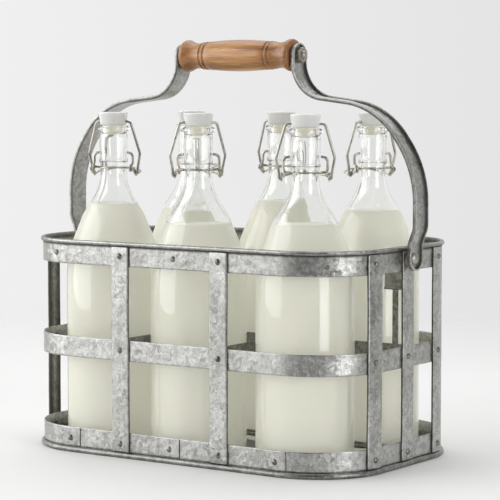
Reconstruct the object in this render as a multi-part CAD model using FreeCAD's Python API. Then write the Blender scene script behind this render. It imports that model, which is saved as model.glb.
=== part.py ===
"""Galvanized strap crate with a swinging handle and six swing-top milk bottles.

Millimetres, +Z up.  The origin is on the floor, under the middle of the crate.
X runs along the long side and Y across it.
"""
import FreeCAD, Part
import math
import os

V = FreeCAD.Vector
os.makedirs("parts", exist_ok=True)

# ---- driving dimensions: crate ---------------------------------------------
LENGTH = 366.0            # outside of the bands, along X
WIDTH = 224.0             # outside of the bands, along Y
CORNER = 66.0             # plan radius of the bands' outer face
BAND_T = 1.2              # sheet of the three bands
BASE_BAND = (5.8, 23.7)   # lower and upper edge
MIDDLE_BAND = (90.0, 109.3)
TOP_BAND = (177.3, 197.0)
RIM_R = 2.15              # rolled rim on the top band
RIM_Z = 197.85
BEAD_R = 2.8              # rolled bead round the tray
BEAD_LAND = 0.3           # how much of the bead's underside is pressed flat
FLOOR_T = 1.0
FLOOR_Z = 1.4             # underside of the floor sheet
TRAY_WALL_TOP = 12.0
STRAP_W = 19.2
STRAP_T = 2.0
STRAP_Z = (5.9, 195.4)
SIDE_STRAP_X = 55.3
END_STRAP_Y = 54.6
PLATE_W = 23.0
PLATE_T = 0.8
PLATE_X = 115.5
RIVET_HEAD_R = 2.9
RIVET_HEAD_H = 1.7
RIVET_SHANK_R = 1.5
RIVET_TAIL_R = 2.4
RIVET_TAIL_H = 0.7
TOP_RIVET_Z = 187.0
MIDDLE_RIVET_Z = 100.3
BASE_RIVET_Z = 13.4
SEAM_RIVETS = (4.3, -133.0)   # extra rivets of the top band, along its outline

# ---- driving dimensions: dividers ------------------------------------------
DIVIDER_T = 1.2
DIVIDER_Z = (91.0, 110.5)
CROSS_X = 55.0
DIVIDER_TAB = 10.0
HALVING_GAP = 0.15
RAIL_R = 1.4
RAIL_Z = (13.4, 16.6)
BRACKET_PLATE = (160.0, 159.5)   # inner edge in X, lower edge in Z
BRACKET_TOP = 192.0
BRACKET_BAR_X = 171.0
BRACKET_BAR_W = 5.6

# ---- driving dimensions: handle --------------------------------------------
ARM_W = 22.0
ARM_DEPTH = 4.2
ARM_T = 1.5
PIVOT_Z = 188.5
GRIP_Z = 371.0
PIVOT_FACE_X = 189.0      # inner face of the arm's web at the pivot
GRIP_FACE_X = 64.0        # inner face of the arm's web at the grip
ARM_BENDS = [             # corner of the web's inner face, and its bend radius
    (PIVOT_FACE_X, 201.6, 12.0),
    (194.5, 215.8, 14.0),
    (194.5, 267.0, 90.0),
    (155.3, 322.2, 72.0),
    (73.8, 331.8, 36.0),
    (GRIP_FACE_X, 359.0, 30.0),
]
PIVOT_R = 3.0
PIVOT_CLEARANCE = 0.06
GRIP_BOLT_R = 4.0
GRIP_HALF = 62.0
NUT_FLATS = 13.0
NUT_H = 6.0

# ---- driving dimensions: bottles -------------------------------------------
BOTTLE_R = 44.6
BOTTLE_H = 302.6          # from the bottle's foot to the top of its lip
GLASS_T = 3.0
FOOT_Z = FLOOR_Z + FLOOR_T
WIRE_R = 1.1
HINGE_CLEARANCE = 0.06
LEVER_PIVOT = (-4.0, 264.6 - FOOT_Z)   # forward of the neck's axis, height
LINK = 9.0                # from the lever's pivot to the bail's pin
LINK_DROP = 30.0          # degrees that the link points below level when shut

# name, x, y, turn of the closure about the bottle's axis, height of the milk
BOTTLES = [
    ("1", -103.9, -60.0, 14.0, 230.8),
    ("2", -4.7, -60.0, 50.0, 215.2),
    ("3", 113.0, -60.0, 34.0, 219.4),
    ("4", -100.9, 61.2, -42.0, 221.5),
    ("5", 6.7, 60.0, 6.0, 230.2),
    ("6", 109.7, 60.0, 62.0, 225.8),
]


# ---- shared shapes ---------------------------------------------------------
def save(name, shape):
    """Write one node, one solid or a group of separate solids."""
    solids = shape.Solids
    shape = solids[0] if len(solids) == 1 else Part.makeCompound(solids)
    shape.exportStep("parts/" + name + ".step")


def fused(shapes):
    """One solid from shapes that touch."""
    return shapes[0].multiFuse(shapes[1:]).removeSplitter()


def rounded_wire(offset, z):
    """The bands' plan outline, moved outward by offset, at height z."""
    half_x = LENGTH / 2 - CORNER
    half_y = WIDTH / 2 - CORNER
    radius = CORNER + offset
    edges = []
    corners = [(half_x, -half_y, -90), (half_x, half_y, 0), (-half_x, half_y, 90), (-half_x, -half_y, 180)]
    ends = []
    for x, y, start in corners:
        points = [
            V(x + radius * math.cos(math.radians(start + turn)), y + radius * math.sin(math.radians(start + turn)), z)
            for turn in (0, 45, 90)
        ]
        edges.append(Part.Arc(*points).toShape())
        ends.append((points[0], points[2]))
    for i in range(4):
        edges.insert(2 * i + 1, Part.LineSegment(ends[i][1], ends[(i + 1) % 4][0]).toShape())
    return Part.Wire(edges)


def rounded_block(offset, low, high):
    return Part.Face(rounded_wire(offset, low)).extrude(V(0, 0, high - low))


def hoop(inner, outer, low, high):
    """A closed band between two offsets of the outline."""
    return rounded_block(outer, low, high).cut(rounded_block(inner, low - 1, high + 1))


def place_on_outline(along, offset):
    """Point and outward angle on the outline, measured along it from the middle of the front."""
    half_x = LENGTH / 2 - CORNER
    half_y = WIDTH / 2 - CORNER
    quarter = CORNER * math.pi / 2
    side = 1 if along >= 0 else -1
    run = abs(along)
    if run <= half_x:
        return side * run, -(WIDTH / 2 + offset), -90.0
    if run <= half_x + quarter:
        angle = -90 + math.degrees((run - half_x) / CORNER)
        x = half_x + (CORNER + offset) * math.cos(math.radians(angle))
        y = -half_y + (CORNER + offset) * math.sin(math.radians(angle))
    elif run <= half_x + quarter + 2 * half_y:
        angle = 0.0
        x = LENGTH / 2 + offset
        y = -half_y + run - half_x - quarter
    else:
        angle = math.degrees((run - half_x - quarter - 2 * half_y) / CORNER)
        x = half_x + (CORNER + offset) * math.cos(math.radians(angle))
        y = half_y + (CORNER + offset) * math.sin(math.radians(angle))
    if side < 0:
        return -x, y, 180.0 - angle
    return x, y, angle


def strip(along, width, low, high, inner, outer):
    """A piece of hoop, width wide, centred at a place along the outline."""
    x, y, angle = place_on_outline(along, 0)
    window = Part.makeBox(60, width, high - low, V(-30, -width / 2, low))
    window.rotate(V(0, 0, 0), V(0, 0, 1), angle)
    window.translate(V(x, y, 0))
    return hoop(inner, outer, low, high).common(window)


def mirrored_y(shape):
    return shape.mirror(V(0, 0, 0), V(0, 1, 0))


def mirrored_x(shape):
    return shape.mirror(V(0, 0, 0), V(1, 0, 0))


def turned_about_z(profile):
    """A solid of revolution about Z from (radius, height) points."""
    points = [V(r, 0, z) for r, z in profile]
    return Part.Face(Part.makePolygon(points + [points[0]])).revolve(V(0, 0, 0), V(0, 0, 1), 360)


def rounded_path(points, radii):
    """Straight runs joined by tangent arcs, as edges."""
    edges = []
    start = points[0]
    for i, radius in enumerate(radii):
        before = (points[i] - points[i + 1]).normalize()
        after = (points[i + 2] - points[i + 1]).normalize()
        half = before.getAngle(after) / 2
        reach = radius / math.tan(half)
        first = points[i + 1] + before * reach
        last = points[i + 1] + after * reach
        middle_way = (before + after).normalize()
        centre = points[i + 1] + middle_way * (radius / math.sin(half))
        edges.append(Part.LineSegment(start, first).toShape())
        edges.append(Part.Arc(first, centre - middle_way * radius, last).toShape())
        start = last
    edges.append(Part.LineSegment(start, points[-1]).toShape())
    return edges


def wire_solid(points, radii, radius):
    """Round wire along straight runs and bends."""
    path = Part.Wire(rounded_path(points, radii))
    way = points[1] - points[0]
    section = Part.Wire(Part.makeCircle(radius, points[0], way))
    return path.makePipeShell([section], True, False)


def jointed_wire(points, radius):
    """Round wire along short straight runs, with a ball at each bend."""
    runs = [
        Part.makeCylinder(radius, (b - a).Length, a, b - a)
        for a, b in zip(points, points[1:])
    ]
    return runs + [Part.makeSphere(radius, p) for p in points[1:-1]]


def save_crate():
    """Tray, three bands, straps, plates and every rivet through them."""
    rivets = []
    holes = []

    def rivet(along, z, outer):
        """A domed rivet through everything between the band's inner face and outer."""
        x, y, angle = place_on_outline(along, 0)
        dome_r = (RIVET_HEAD_R ** 2 + RIVET_HEAD_H ** 2) / (2 * RIVET_HEAD_H)
        dome = Part.makeSphere(dome_r, V(outer + RIVET_HEAD_H - dome_r, 0, 0))
        dome = dome.common(Part.makeBox(9, 9, 9, V(outer, -4.5, -4.5)))
        shank = Part.makeCylinder(RIVET_SHANK_R, outer + BAND_T, V(-BAND_T, 0, 0), V(1, 0, 0))
        tail = Part.makeCylinder(RIVET_TAIL_R, RIVET_TAIL_H, V(-BAND_T - RIVET_TAIL_H, 0, 0), V(1, 0, 0))
        hole = Part.makeCylinder(RIVET_SHANK_R, 12, V(-6, 0, 0), V(1, 0, 0))
        for shape, group in ((fused([dome, shank, tail]), rivets), (hole, holes)):
            shape.rotate(V(0, 0, 0), V(0, 0, 1), angle)
            shape.translate(V(x, y, z))
            group.append(shape)

    half_x = LENGTH / 2 - CORNER
    half_y = WIDTH / 2 - CORNER
    quarter = CORNER * math.pi / 2
    end_middle = half_x + quarter + half_y
    past_flat = (END_STRAP_Y - half_y) / math.cos(math.radians(7.0))
    front_corner = end_middle - half_y - past_flat
    rear_corner = end_middle + half_y + past_flat

    side = [strip(x, STRAP_W, *STRAP_Z, 0, STRAP_T) for x in (-SIDE_STRAP_X, SIDE_STRAP_X)]
    side += [mirrored_y(s) for s in side]
    ends = [strip(a, STRAP_W, *STRAP_Z, 0, STRAP_T) for a in (front_corner, end_middle, rear_corner)]
    ends += [mirrored_x(s) for s in ends]
    plates = [
        strip(x, PLATE_W, BASE_BAND[0] + 0.3, BASE_BAND[1] - 0.4, 0, PLATE_T)
        for x in (-PLATE_X, 0, PLATE_X)
    ]
    plates += [mirrored_y(p) for p in plates]

    def rivet_pair(along, z, outer):
        """One rivet and its mirror on the other long side."""
        rivet(along, z, outer)
        for group in (rivets, holes):
            group.append(mirrored_y(group[-1]))

    for z in (BASE_RIVET_Z, MIDDLE_RIVET_Z, TOP_RIVET_Z):
        for along in (-SIDE_STRAP_X, SIDE_STRAP_X, -front_corner, front_corner):
            rivet_pair(along, z, STRAP_T)
        if z != TOP_RIVET_Z:
            for along in (-end_middle, end_middle):
                rivet(along, z, STRAP_T)
    for along in (-PLATE_X, 0, PLATE_X):
        rivet_pair(along, BASE_RIVET_Z, PLATE_T)
    for along in SEAM_RIVETS:
        rivet_pair(along, TOP_RIVET_Z, 0)

    pivot_hole = Part.makeCylinder(PIVOT_R, LENGTH + 40, V(-LENGTH / 2 - 20, 0, PIVOT_Z), V(1, 0, 0))
    drill = Part.makeCompound(holes + [pivot_hole])

    base = hoop(-BAND_T, 0, *BASE_BAND)
    middle = hoop(-BAND_T, 0, *MIDDLE_BAND)
    top = hoop(-BAND_T, 0, *TOP_BAND)
    rim_path = rounded_wire(0, RIM_Z)
    rim_start = V(LENGTH / 2 - CORNER, -WIDTH / 2, RIM_Z)
    rim = rim_path.makePipeShell([Part.Wire(Part.makeCircle(RIM_R, rim_start, V(1, 0, 0)))], True, False)
    bead_z = BEAD_R - BEAD_LAND
    bead_start = V(rim_start.x, rim_start.y, bead_z)
    bead = rounded_wire(0, bead_z).makePipeShell(
        [Part.Wire(Part.makeCircle(BEAD_R, bead_start, V(1, 0, 0)))], True, False
    )
    bead = bead.cut(rounded_block(2 * BEAD_R, -2 * BEAD_R, 0))
    floor = rounded_block(-0.5, FLOOR_Z, FLOOR_Z + FLOOR_T)
    wall = hoop(-BAND_T - FLOOR_T, -BAND_T, FLOOR_Z, TRAY_WALL_TOP)
    tray = fused([floor, wall, bead])
    # the tray's wall and the bands stop short of the rivets' tails
    riveted = Part.makeCompound(rivets)
    tray = tray.cut(riveted).cut(base)

    save("base_tray", tray)
    save("base_band", base.cut(drill).cut(riveted))
    save("middle_band", middle.cut(drill).cut(riveted))
    save("top_band", fused([top, rim]).cut(drill).cut(riveted))
    save("side_straps", Part.makeCompound([s.cut(drill) for s in side]))
    save("end_straps", Part.makeCompound([s.cut(drill) for s in ends]))
    save("lap_plates", Part.makeCompound([p.cut(drill) for p in plates]))
    save("band_rivets", riveted)


def save_dividers():
    """Halved divider straps, the rail near the floor and the end brackets."""
    low, high = DIVIDER_Z
    middle = (low + high) / 2
    inner_x = LENGTH / 2 - BAND_T
    inner_y = WIDTH / 2 - BAND_T
    gap = DIVIDER_T / 2 + HALVING_GAP
    tab_z = MIDDLE_BAND[0] + 2

    lengthwise = Part.makeBox(2 * inner_x, DIVIDER_T, high - low, V(-inner_x, -DIVIDER_T / 2, low))
    slots = [Part.makeBox(2 * gap, 4, high - middle + 1, V(s * CROSS_X - gap, -2, middle)) for s in (-1, 1)]
    tab = Part.makeBox(DIVIDER_T, DIVIDER_TAB, 15, V(inner_x - DIVIDER_T, 0, tab_z))
    lengthwise = fused([lengthwise.cut(Part.makeCompound(slots)), tab, mirrored_x(tab)])
    # both kinds of tab clear the tails of the rivets in the middle band
    tail_r = RIVET_TAIL_R + 0.2
    room = RIVET_TAIL_H + 0.4 + DIVIDER_T
    end_tails = [
        Part.makeCylinder(tail_r, room, V(side * inner_x, 0, MIDDLE_RIVET_Z), V(-side, 0, 0)) for side in (-1, 1)
    ]
    save("divider_strap", lengthwise.cut(Part.makeCompound(end_tails)))

    crosses = []
    for side in (-1, 1):
        box = Part.makeBox(DIVIDER_T, 2 * inner_y, high - low, V(side * CROSS_X - DIVIDER_T / 2, -inner_y, low))
        slot = Part.makeBox(4, 2 * gap, middle - low + 1, V(side * CROSS_X - 2, -gap, low - 1))
        foot = Part.makeBox(DIVIDER_TAB, DIVIDER_T, 15, V(side * CROSS_X - DIVIDER_TAB / 2, -inner_y, tab_z))
        foot.translate(V(-side * (DIVIDER_TAB / 2), 0, 0))
        crosses.append(fused([box.cut(slot), foot, mirrored_y(foot)]))
    tails = [
        Part.makeCylinder(tail_r, room, V(x, y * inner_y, MIDDLE_RIVET_Z), V(0, -y, 0))
        for x in (-SIDE_STRAP_X, SIDE_STRAP_X)
        for y in (-1, 1)
    ]
    save("cross_straps", Part.makeCompound([c.cut(Part.makeCompound(tails)) for c in crosses]))

    rails = [Part.makeCylinder(RAIL_R, 2 * inner_x, V(-inner_x, 0, z), V(1, 0, 0)) for z in RAIL_Z]
    keep_out = Part.makeCylinder(RIVET_TAIL_R + 0.1, 2 * RIVET_TAIL_H + 0.2, V(0, 0, 0), V(1, 0, 0))
    for side in (-1, 1):
        stub = keep_out.copy()
        stub.translate(V(side * inner_x - RIVET_TAIL_H - 0.1, 0, BASE_RIVET_Z))
        rails = [r.cut(stub) for r in rails]
    save("floor_rail", Part.makeCompound(rails))

    plate_x, plate_z = BRACKET_PLATE
    half = DIVIDER_T / 2
    plate = Part.makeBox(inner_x - plate_x, DIVIDER_T, BRACKET_TOP - plate_z, V(plate_x, -half, plate_z))
    notch = Part.makeBox(30, 4, 30, V(plate_x - 1, -2, TOP_BAND[0] - 1))
    notch.translate(V(-17, 0, 0))
    bar = Part.makeBox(BRACKET_BAR_W, DIVIDER_T, plate_z - high + 1, V(BRACKET_BAR_X - BRACKET_BAR_W / 2, -half, high))
    roll = Part.makeCylinder(1.5, inner_x - plate_x, V(plate_x, 0, plate_z + 1.5), V(1, 0, 0))
    bolt_room = Part.makeBox(3, 14, 14, V(inner_x - 3, -7, PIVOT_Z - 7))
    bracket = fused([plate.cut(notch), bar, roll]).cut(bolt_room)
    save("divider_brackets", Part.makeCompound([bracket, mirrored_x(bracket)]))


def arm_edges(offset):
    """The web's side view, moved outward by offset: points pairs for tangent runs."""
    corners = [(PIVOT_FACE_X, PIVOT_Z)] + [(x, z) for x, z, _ in ARM_BENDS] + [(GRIP_FACE_X, GRIP_Z)]
    edges = rounded_path([V(x, 0, z) for x, z in corners], [r for _, _, r in ARM_BENDS])
    moved = []
    for edge in edges:
        first, last = edge.FirstParameter, edge.LastParameter
        points = []
        for t in (first, (first + last) / 2, last):
            way = edge.tangentAt(t)
            points.append(edge.valueAt(t) + V(way.z, 0, -way.x) * offset)
        if isinstance(edge.Curve, Part.Line):
            moved.append(Part.LineSegment(points[0], points[2]).toShape())
        else:
            moved.append(Part.Arc(*points).toShape())
    return moved


def arm_slab(inner, outer, y, width):
    """The stretch of arm between two offsets of its web, from y to y + width."""
    near = arm_edges(inner)
    far = arm_edges(outer)
    caps = [
        Part.LineSegment(near[-1].valueAt(near[-1].LastParameter), far[-1].valueAt(far[-1].LastParameter)).toShape(),
        Part.LineSegment(near[0].valueAt(near[0].FirstParameter), far[0].valueAt(far[0].FirstParameter)).toShape(),
    ]
    face = Part.Face(Part.Wire(Part.__sortEdges__(near + far + caps)))
    face.translate(V(0, y, 0))
    return face.extrude(V(0, width, 0))


def save_handle():
    """Two channel arms, the grip, its bolt, nuts and washers, and the pivots."""
    half = ARM_W / 2
    pieces = [
        arm_slab(0, ARM_T, -half, ARM_W),
        arm_slab(0, ARM_DEPTH, -half, ARM_T),
        arm_slab(0, ARM_DEPTH, half - ARM_T, ARM_T),
    ]
    for x, z, upward in ((PIVOT_FACE_X, PIVOT_Z, -1), (GRIP_FACE_X, GRIP_Z, 1)):
        cup = Part.makeCylinder(half, ARM_DEPTH, V(x, 0, z), V(1, 0, 0))
        dish = Part.makeCylinder(half - ARM_T, ARM_DEPTH, V(x + ARM_T, 0, z), V(1, 0, 0))
        below = z if upward > 0 else z - 2 * half
        outer_half = Part.makeBox(3 * ARM_DEPTH, ARM_W, 2 * half, V(x - 1, -half, below))
        pieces.append(cup.cut(dish).common(outer_half))
    arm = fused(pieces)
    pivot_hole = Part.makeCylinder(PIVOT_R + PIVOT_CLEARANCE, 40, V(PIVOT_FACE_X - 20, 0, PIVOT_Z), V(1, 0, 0))
    bolt_hole = Part.makeCylinder(GRIP_BOLT_R, 40, V(GRIP_FACE_X - 20, 0, GRIP_Z), V(1, 0, 0))
    arm = arm.cut(pivot_hole).cut(bolt_hole)
    save("handle_arm_right", arm)
    save("handle_arm_left", mirrored_x(arm))

    # grip: radius against distance from its middle
    outline = [
        (0, 14.8), (9, 14.7), (18, 14.3), (26, 13.8), (33, 13.4), (33.6, 12.3), (35.2, 12.3), (35.8, 13.3),
        (37.4, 13.2), (38, 12.1), (39.6, 12.1), (40.2, 12.9), (45, 11.9), (49, 12.0), (53, 13.0), (56.5, 14.7),
        (57.6, 15.0), (59.8, 15.0), (61.2, 14.4), (GRIP_HALF, 13.2),
    ]
    half_points = [V(x, 0, GRIP_Z + r) for x, r in outline]
    curve_left = [V(-p.x, 0, p.z) for p in reversed(half_points[1:])]
    edge_points = curve_left + half_points
    bore = GRIP_BOLT_R + PIVOT_CLEARANCE
    ring = [V(GRIP_HALF, 0, GRIP_Z + bore), V(-GRIP_HALF, 0, GRIP_Z + bore)]
    face = Part.Face(Part.makePolygon(edge_points + ring + [edge_points[0]]))
    save("wooden_grip", face.revolve(V(0, 0, GRIP_Z), V(1, 0, 0), 360))

    bolt_end = GRIP_FACE_X + ARM_T + NUT_H + 3.0
    bolt = Part.makeCylinder(GRIP_BOLT_R, 2 * bolt_end - 5, V(-bolt_end + 2.5, 0, GRIP_Z), V(1, 0, 0))
    dome_r = (GRIP_BOLT_R ** 2 + 2.5 ** 2) / 5.0
    domes = []
    for side in (-1, 1):
        ball = Part.makeSphere(dome_r, V(side * (bolt_end - dome_r), 0, GRIP_Z))
        start = bolt_end - 2.5 if side > 0 else -bolt_end
        domes.append(ball.common(Part.makeBox(2.5, 12, 12, V(start, -6, GRIP_Z - 6))))
    save("grip_bolt", fused([bolt] + domes))

    corner_r = NUT_FLATS / 2 / math.cos(math.radians(30))
    hexagon = [
        V(0, corner_r * math.sin(math.radians(60 * i)), corner_r * math.cos(math.radians(60 * i)))
        for i in range(7)
    ]
    nut = Part.Face(Part.makePolygon(hexagon)).extrude(V(NUT_H, 0, 0))
    chamfer = Part.makeCone(corner_r - 0.6, corner_r + NUT_H - 0.6, NUT_H, V(NUT_H, 0, 0), V(-1, 0, 0))
    nut = nut.common(chamfer).cut(Part.makeCylinder(GRIP_BOLT_R, NUT_H, V(0, 0, 0), V(1, 0, 0)))
    nut.translate(V(GRIP_FACE_X + ARM_T, 0, GRIP_Z))
    washer_t = GRIP_FACE_X - GRIP_HALF - 0.35
    washer = Part.makeCylinder(9.0, washer_t, V(0, 0, 0), V(1, 0, 0))
    washer = washer.cut(Part.makeCylinder(GRIP_BOLT_R, washer_t, V(0, 0, 0), V(1, 0, 0)))
    washer.translate(V(GRIP_FACE_X - washer_t, 0, GRIP_Z))
    save("grip_nuts", Part.makeCompound([nut, washer, mirrored_x(nut), mirrored_x(washer)]))

    inner_x = LENGTH / 2 - BAND_T
    strap_x = LENGTH / 2 + STRAP_T
    head_x = PIVOT_FACE_X + ARM_T + 0.35
    shank = Part.makeCylinder(PIVOT_R, head_x - inner_x, V(inner_x, 0, PIVOT_Z), V(1, 0, 0))
    head_dome = (5.4 ** 2 + 3.0 ** 2) / 6.0
    head = Part.makeSphere(head_dome, V(head_x + 3.0 - head_dome, 0, PIVOT_Z))
    head = head.common(Part.makeBox(4, 12, 12, V(head_x, -6, PIVOT_Z - 6)))
    tail = Part.makeCylinder(5.0, 1.6, V(inner_x - 1.6, 0, PIVOT_Z), V(1, 0, 0))
    pin = fused([shank, head, tail])
    bush_t = PIVOT_FACE_X - strap_x - 0.35
    bush = Part.makeCylinder(7.5, bush_t, V(strap_x, 0, PIVOT_Z), V(1, 0, 0))
    bush = bush.cut(Part.makeCylinder(PIVOT_R, bush_t, V(strap_x, 0, PIVOT_Z), V(1, 0, 0)))
    save("pivot_bolts", Part.makeCompound([pin, bush, mirrored_x(pin), mirrored_x(bush)]))


def bottle_outline(inset):
    """Radius against height of the glass, from the foot's edge to the lip, moved in by inset."""
    shape = [
        (BOTTLE_R, 12.0), (BOTTLE_R, 165.0), (44.0, 172.0), (42.4, 183.0), (39.2, 194.0), (34.6, 205.0),
        (29.5, 218.0), (24.4, 227.0), (19.9, 233.5), (16.0, 241.0), (13.4, 249.0), (12.5, 257.0), (12.5, 266.0),
    ]
    return [(r - inset, z) for r, z in shape]


def smooth_edge(points):
    """A curve through (radius, height) points in the XZ plane."""
    curve = Part.BSplineCurve()
    curve.interpolate([V(r, 0, z) for r, z in points])
    return curve.toShape()


def straight_edges(points):
    vectors = [V(r, 0, z) for r, z in points]
    return [Part.LineSegment(a, b).toShape() for a, b in zip(vectors, vectors[1:])]


def revolved(edges):
    face = Part.Face(Part.Wire(edges))
    return face.revolve(V(0, 0, 0), V(0, 0, 1), 360)


def bottle_parts(milk_top):
    """The seven pieces of one bottle, at the origin, foot on z = 0, closure along X."""
    outer = bottle_outline(0)
    lip = BOTTLE_H
    neck = [(12.5, 266.0), (13.4, 268.5), (13.6, 270.5), (12.9, 272.5), (13.1, 278.0), (13.5, 285.0),
            (13.3, 293.0), (13.3, 297.2), (14.6, 298.2), (14.7, 301.2), (13.6, lip), (8.6, lip)]
    inner_wall = [(r, z) for r, z in reversed(bottle_outline(GLASS_T)[1:])]
    bore = [(8.6, lip), (9.2, 270.0), inner_wall[0]]
    foot = [(0, 2.0), (30.0, 1.4), (36.6, 0.0)]
    foot_arc = Part.Arc(V(36.6, 0, 0), V(42.2, 0, 2.6), V(BOTTLE_R, 0, 12.0)).toShape()
    inside_r = BOTTLE_R - GLASS_T
    inside_arc = Part.Arc(V(inside_r, 0, 14.0), V(39.4, 0, 8.0), V(33.0, 0, 6.0)).toShape()
    glass_edges = straight_edges(foot) + [foot_arc]
    glass_edges += straight_edges(outer[:2]) + [smooth_edge(outer[1:])]
    glass_edges += straight_edges(neck) + straight_edges(bore)
    glass_edges += [smooth_edge(inner_wall)]
    glass_edges += straight_edges([inner_wall[-1], (inside_r, 14.0)]) + [inside_arc]
    glass_edges += straight_edges([(33.0, 6.0), (0, 6.6), (0, 2.0)])
    glass = revolved(glass_edges)

    top = milk_top - FOOT_Z
    inside = revolved(
        straight_edges([(0, 6.6), (33.0, 6.0)])
        + [Part.Arc(V(33.0, 0, 6.0), V(39.4, 0, 8.0), V(inside_r, 0, 14.0)).toShape()]
        + straight_edges([(inside_r, 14.0), inner_wall[-1]])
        + [smooth_edge(inner_wall)]
        + straight_edges([inner_wall[0], (0, inner_wall[0][1]), (0, 6.6)])
    )
    milk = inside.common(Part.makeBox(120, 120, top, V(-60, -60, 0)))

    pivot_n, pivot_z = LEVER_PIVOT
    drop = math.radians(LINK_DROP)
    pin_n = pivot_n + LINK * math.cos(drop)
    pin_z = pivot_z - LINK * math.sin(drop)
    cap_z = 309.2 - FOOT_Z

    ring = Part.makeTorus(12.5 + WIRE_R + 0.05, WIRE_R, V(0, 0, 263.2), V(0, 0, 1))
    ring.rotate(V(0, 0, 0), V(0, 0, 1), 90)
    hooks = []
    for side in (-1, 1):
        hooks += jointed_wire(
            [V(side * 14.2, 0, 277.6), V(side * 18.0, 0, 276.8), V(side * 19.5, 0, 275.0),
             V(side * 19.8, -0.4, 267.5), V(side * 19.1, pivot_n, pivot_z + 2.4)], WIRE_R)
        hooks += jointed_wire([V(side * 13.6, 0, 263.2), V(side * 19.4, -1.5, 264.3)], WIRE_R)
        hooks.append(Part.makeCylinder(3.0, 1.8, V(side * 18.2, pivot_n, pivot_z), V(side, 0, 0)))
    collar = fused([ring] + hooks)
    pin_ways = Part.makeCylinder(WIRE_R + HINGE_CLEARANCE, 60, V(-30, pivot_n, pivot_z), V(1, 0, 0))
    collar = collar.cut(pin_ways)

    # lever: two links, their pivot pins and the thumb loop
    lever_parts = []
    along = V(0, math.cos(drop), -math.sin(drop))
    base = V(0, pivot_n, pivot_z)
    for side in (-1, 1):
        plate_x = 21.0 if side > 0 else -21.9
        nose = base + along * (LINK + 4.0)
        ends = [Part.makeCylinder(2.5, 0.9, V(plate_x, p.y, p.z), V(1, 0, 0)) for p in (base, nose)]
        bar = Part.makeBox(0.9, LINK + 4.0, 5.0, V(plate_x, pivot_n, pivot_z - 2.5))
        bar.rotate(base, V(1, 0, 0), -LINK_DROP)
        pin = Part.makeCylinder(WIRE_R, 4.1, V(side * 17.8, pivot_n, pivot_z), V(side, 0, 0))
        lever_parts += ends + [bar, pin]
    nose = base + along * (LINK + 4.0)
    loop = wire_solid(
        [V(-21.4, nose.y, nose.z), V(-21.4, 16.0, 259.6), V(-9.0, 26.0, 262.1), V(9.0, 26.0, 262.1),
         V(21.4, 16.0, 259.6), V(21.4, nose.y, nose.z)],
        [5.0, 6.0, 6.0, 5.0], WIRE_R)
    lever = fused(lever_parts + [loop])
    eye_holes = [
        Part.makeCylinder(WIRE_R + HINGE_CLEARANCE, 3, V(x, pin_n, pin_z), V(1, 0, 0)) for x in (20.0, -23.0)
    ]
    lever = lever.cut(Part.makeCompound(eye_holes))

    # bail: through the cap, down both sides, hooked into the links
    lean = (pin_n) / (cap_z - pin_z)

    def bail_point(x, z):
        return V(x, (cap_z - z) * lean, z)

    half_bail = [bail_point(17.4, cap_z), bail_point(26.1, 276.6), bail_point(23.7, 264.0),
                 bail_point(23.3, pin_z), V(20.2, pin_n, pin_z)]
    half_bail[0] = V(17.4, 0, cap_z)
    both = [V(-p.x, p.y, p.z) for p in reversed(half_bail)] + half_bail
    bail = wire_solid(both, [1.6, 6.0, 6.0, 2.4, 2.4, 6.0, 6.0, 1.6], WIRE_R)

    cap = turned_about_z([
        (0, lip + 0.9), (12.1, lip + 0.9), (12.6, lip + 3.0), (13.6, lip + 10.6), (13.8, lip + 11.8),
        (13.2, lip + 12.6), (0, lip + 13.0),
    ])
    cap = cap.cut(Part.makeCylinder(WIRE_R, 60, V(-30, 0, cap_z), V(1, 0, 0)))
    gasket = turned_about_z([
        (0, lip - 7.0), (5.6, lip - 7.0), (6.8, lip - 5.0), (7.0, lip + 0.05), (10.4, lip + 0.05),
        (10.4, lip + 0.9), (0, lip + 0.9),
    ])
    return {
        "bottle": glass, "milk": milk, "collar": collar, "lever": lever,
        "bail": bail, "stopper": cap, "gasket": gasket,
    }


def save_bottles():
    for name, x, y, turn, milk_top in BOTTLES:
        for kind, shape in bottle_parts(milk_top).items():
            shape.rotate(V(0, 0, 0), V(0, 0, 1), turn)
            shape.translate(V(x, y, FOOT_Z))
            save(kind + "_" + name, shape)


save_crate()
save_dividers()
save_handle()
save_bottles()
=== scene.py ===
import math

import bpy
from mathutils import Matrix, Vector


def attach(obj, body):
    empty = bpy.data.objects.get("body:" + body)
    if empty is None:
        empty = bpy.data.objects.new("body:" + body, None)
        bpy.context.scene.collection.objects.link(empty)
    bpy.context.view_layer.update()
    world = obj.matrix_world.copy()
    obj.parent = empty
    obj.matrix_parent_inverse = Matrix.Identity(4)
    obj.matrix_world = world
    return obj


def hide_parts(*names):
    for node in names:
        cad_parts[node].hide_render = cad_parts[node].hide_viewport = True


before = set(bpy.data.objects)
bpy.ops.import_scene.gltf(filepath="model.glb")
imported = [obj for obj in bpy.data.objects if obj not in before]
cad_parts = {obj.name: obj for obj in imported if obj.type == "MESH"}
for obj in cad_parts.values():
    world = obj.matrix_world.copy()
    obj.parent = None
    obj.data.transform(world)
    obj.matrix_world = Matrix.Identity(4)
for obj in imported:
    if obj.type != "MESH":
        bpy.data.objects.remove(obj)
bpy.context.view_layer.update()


# ---- Camera ----
# A long lens stands two metres off the right-hand front corner, a little above
# the milk line, so both faces of the crate show and the uprights stay vertical.
CAMERA_PLACE = Vector((1.1569, -1.6596, 0.3463))
CAMERA_TARGET = Vector((0.01165, 0, 0.18835))
camera = bpy.data.objects.new("camera", bpy.data.cameras.new("camera"))
camera.data.lens = 154.5
camera.data.sensor_width = 36
camera.location = CAMERA_PLACE
camera.rotation_euler = (CAMERA_TARGET - CAMERA_PLACE).to_track_quat("-Z", "Y").to_euler()
bpy.context.scene.collection.objects.link(camera)
bpy.context.scene.camera = camera


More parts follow.
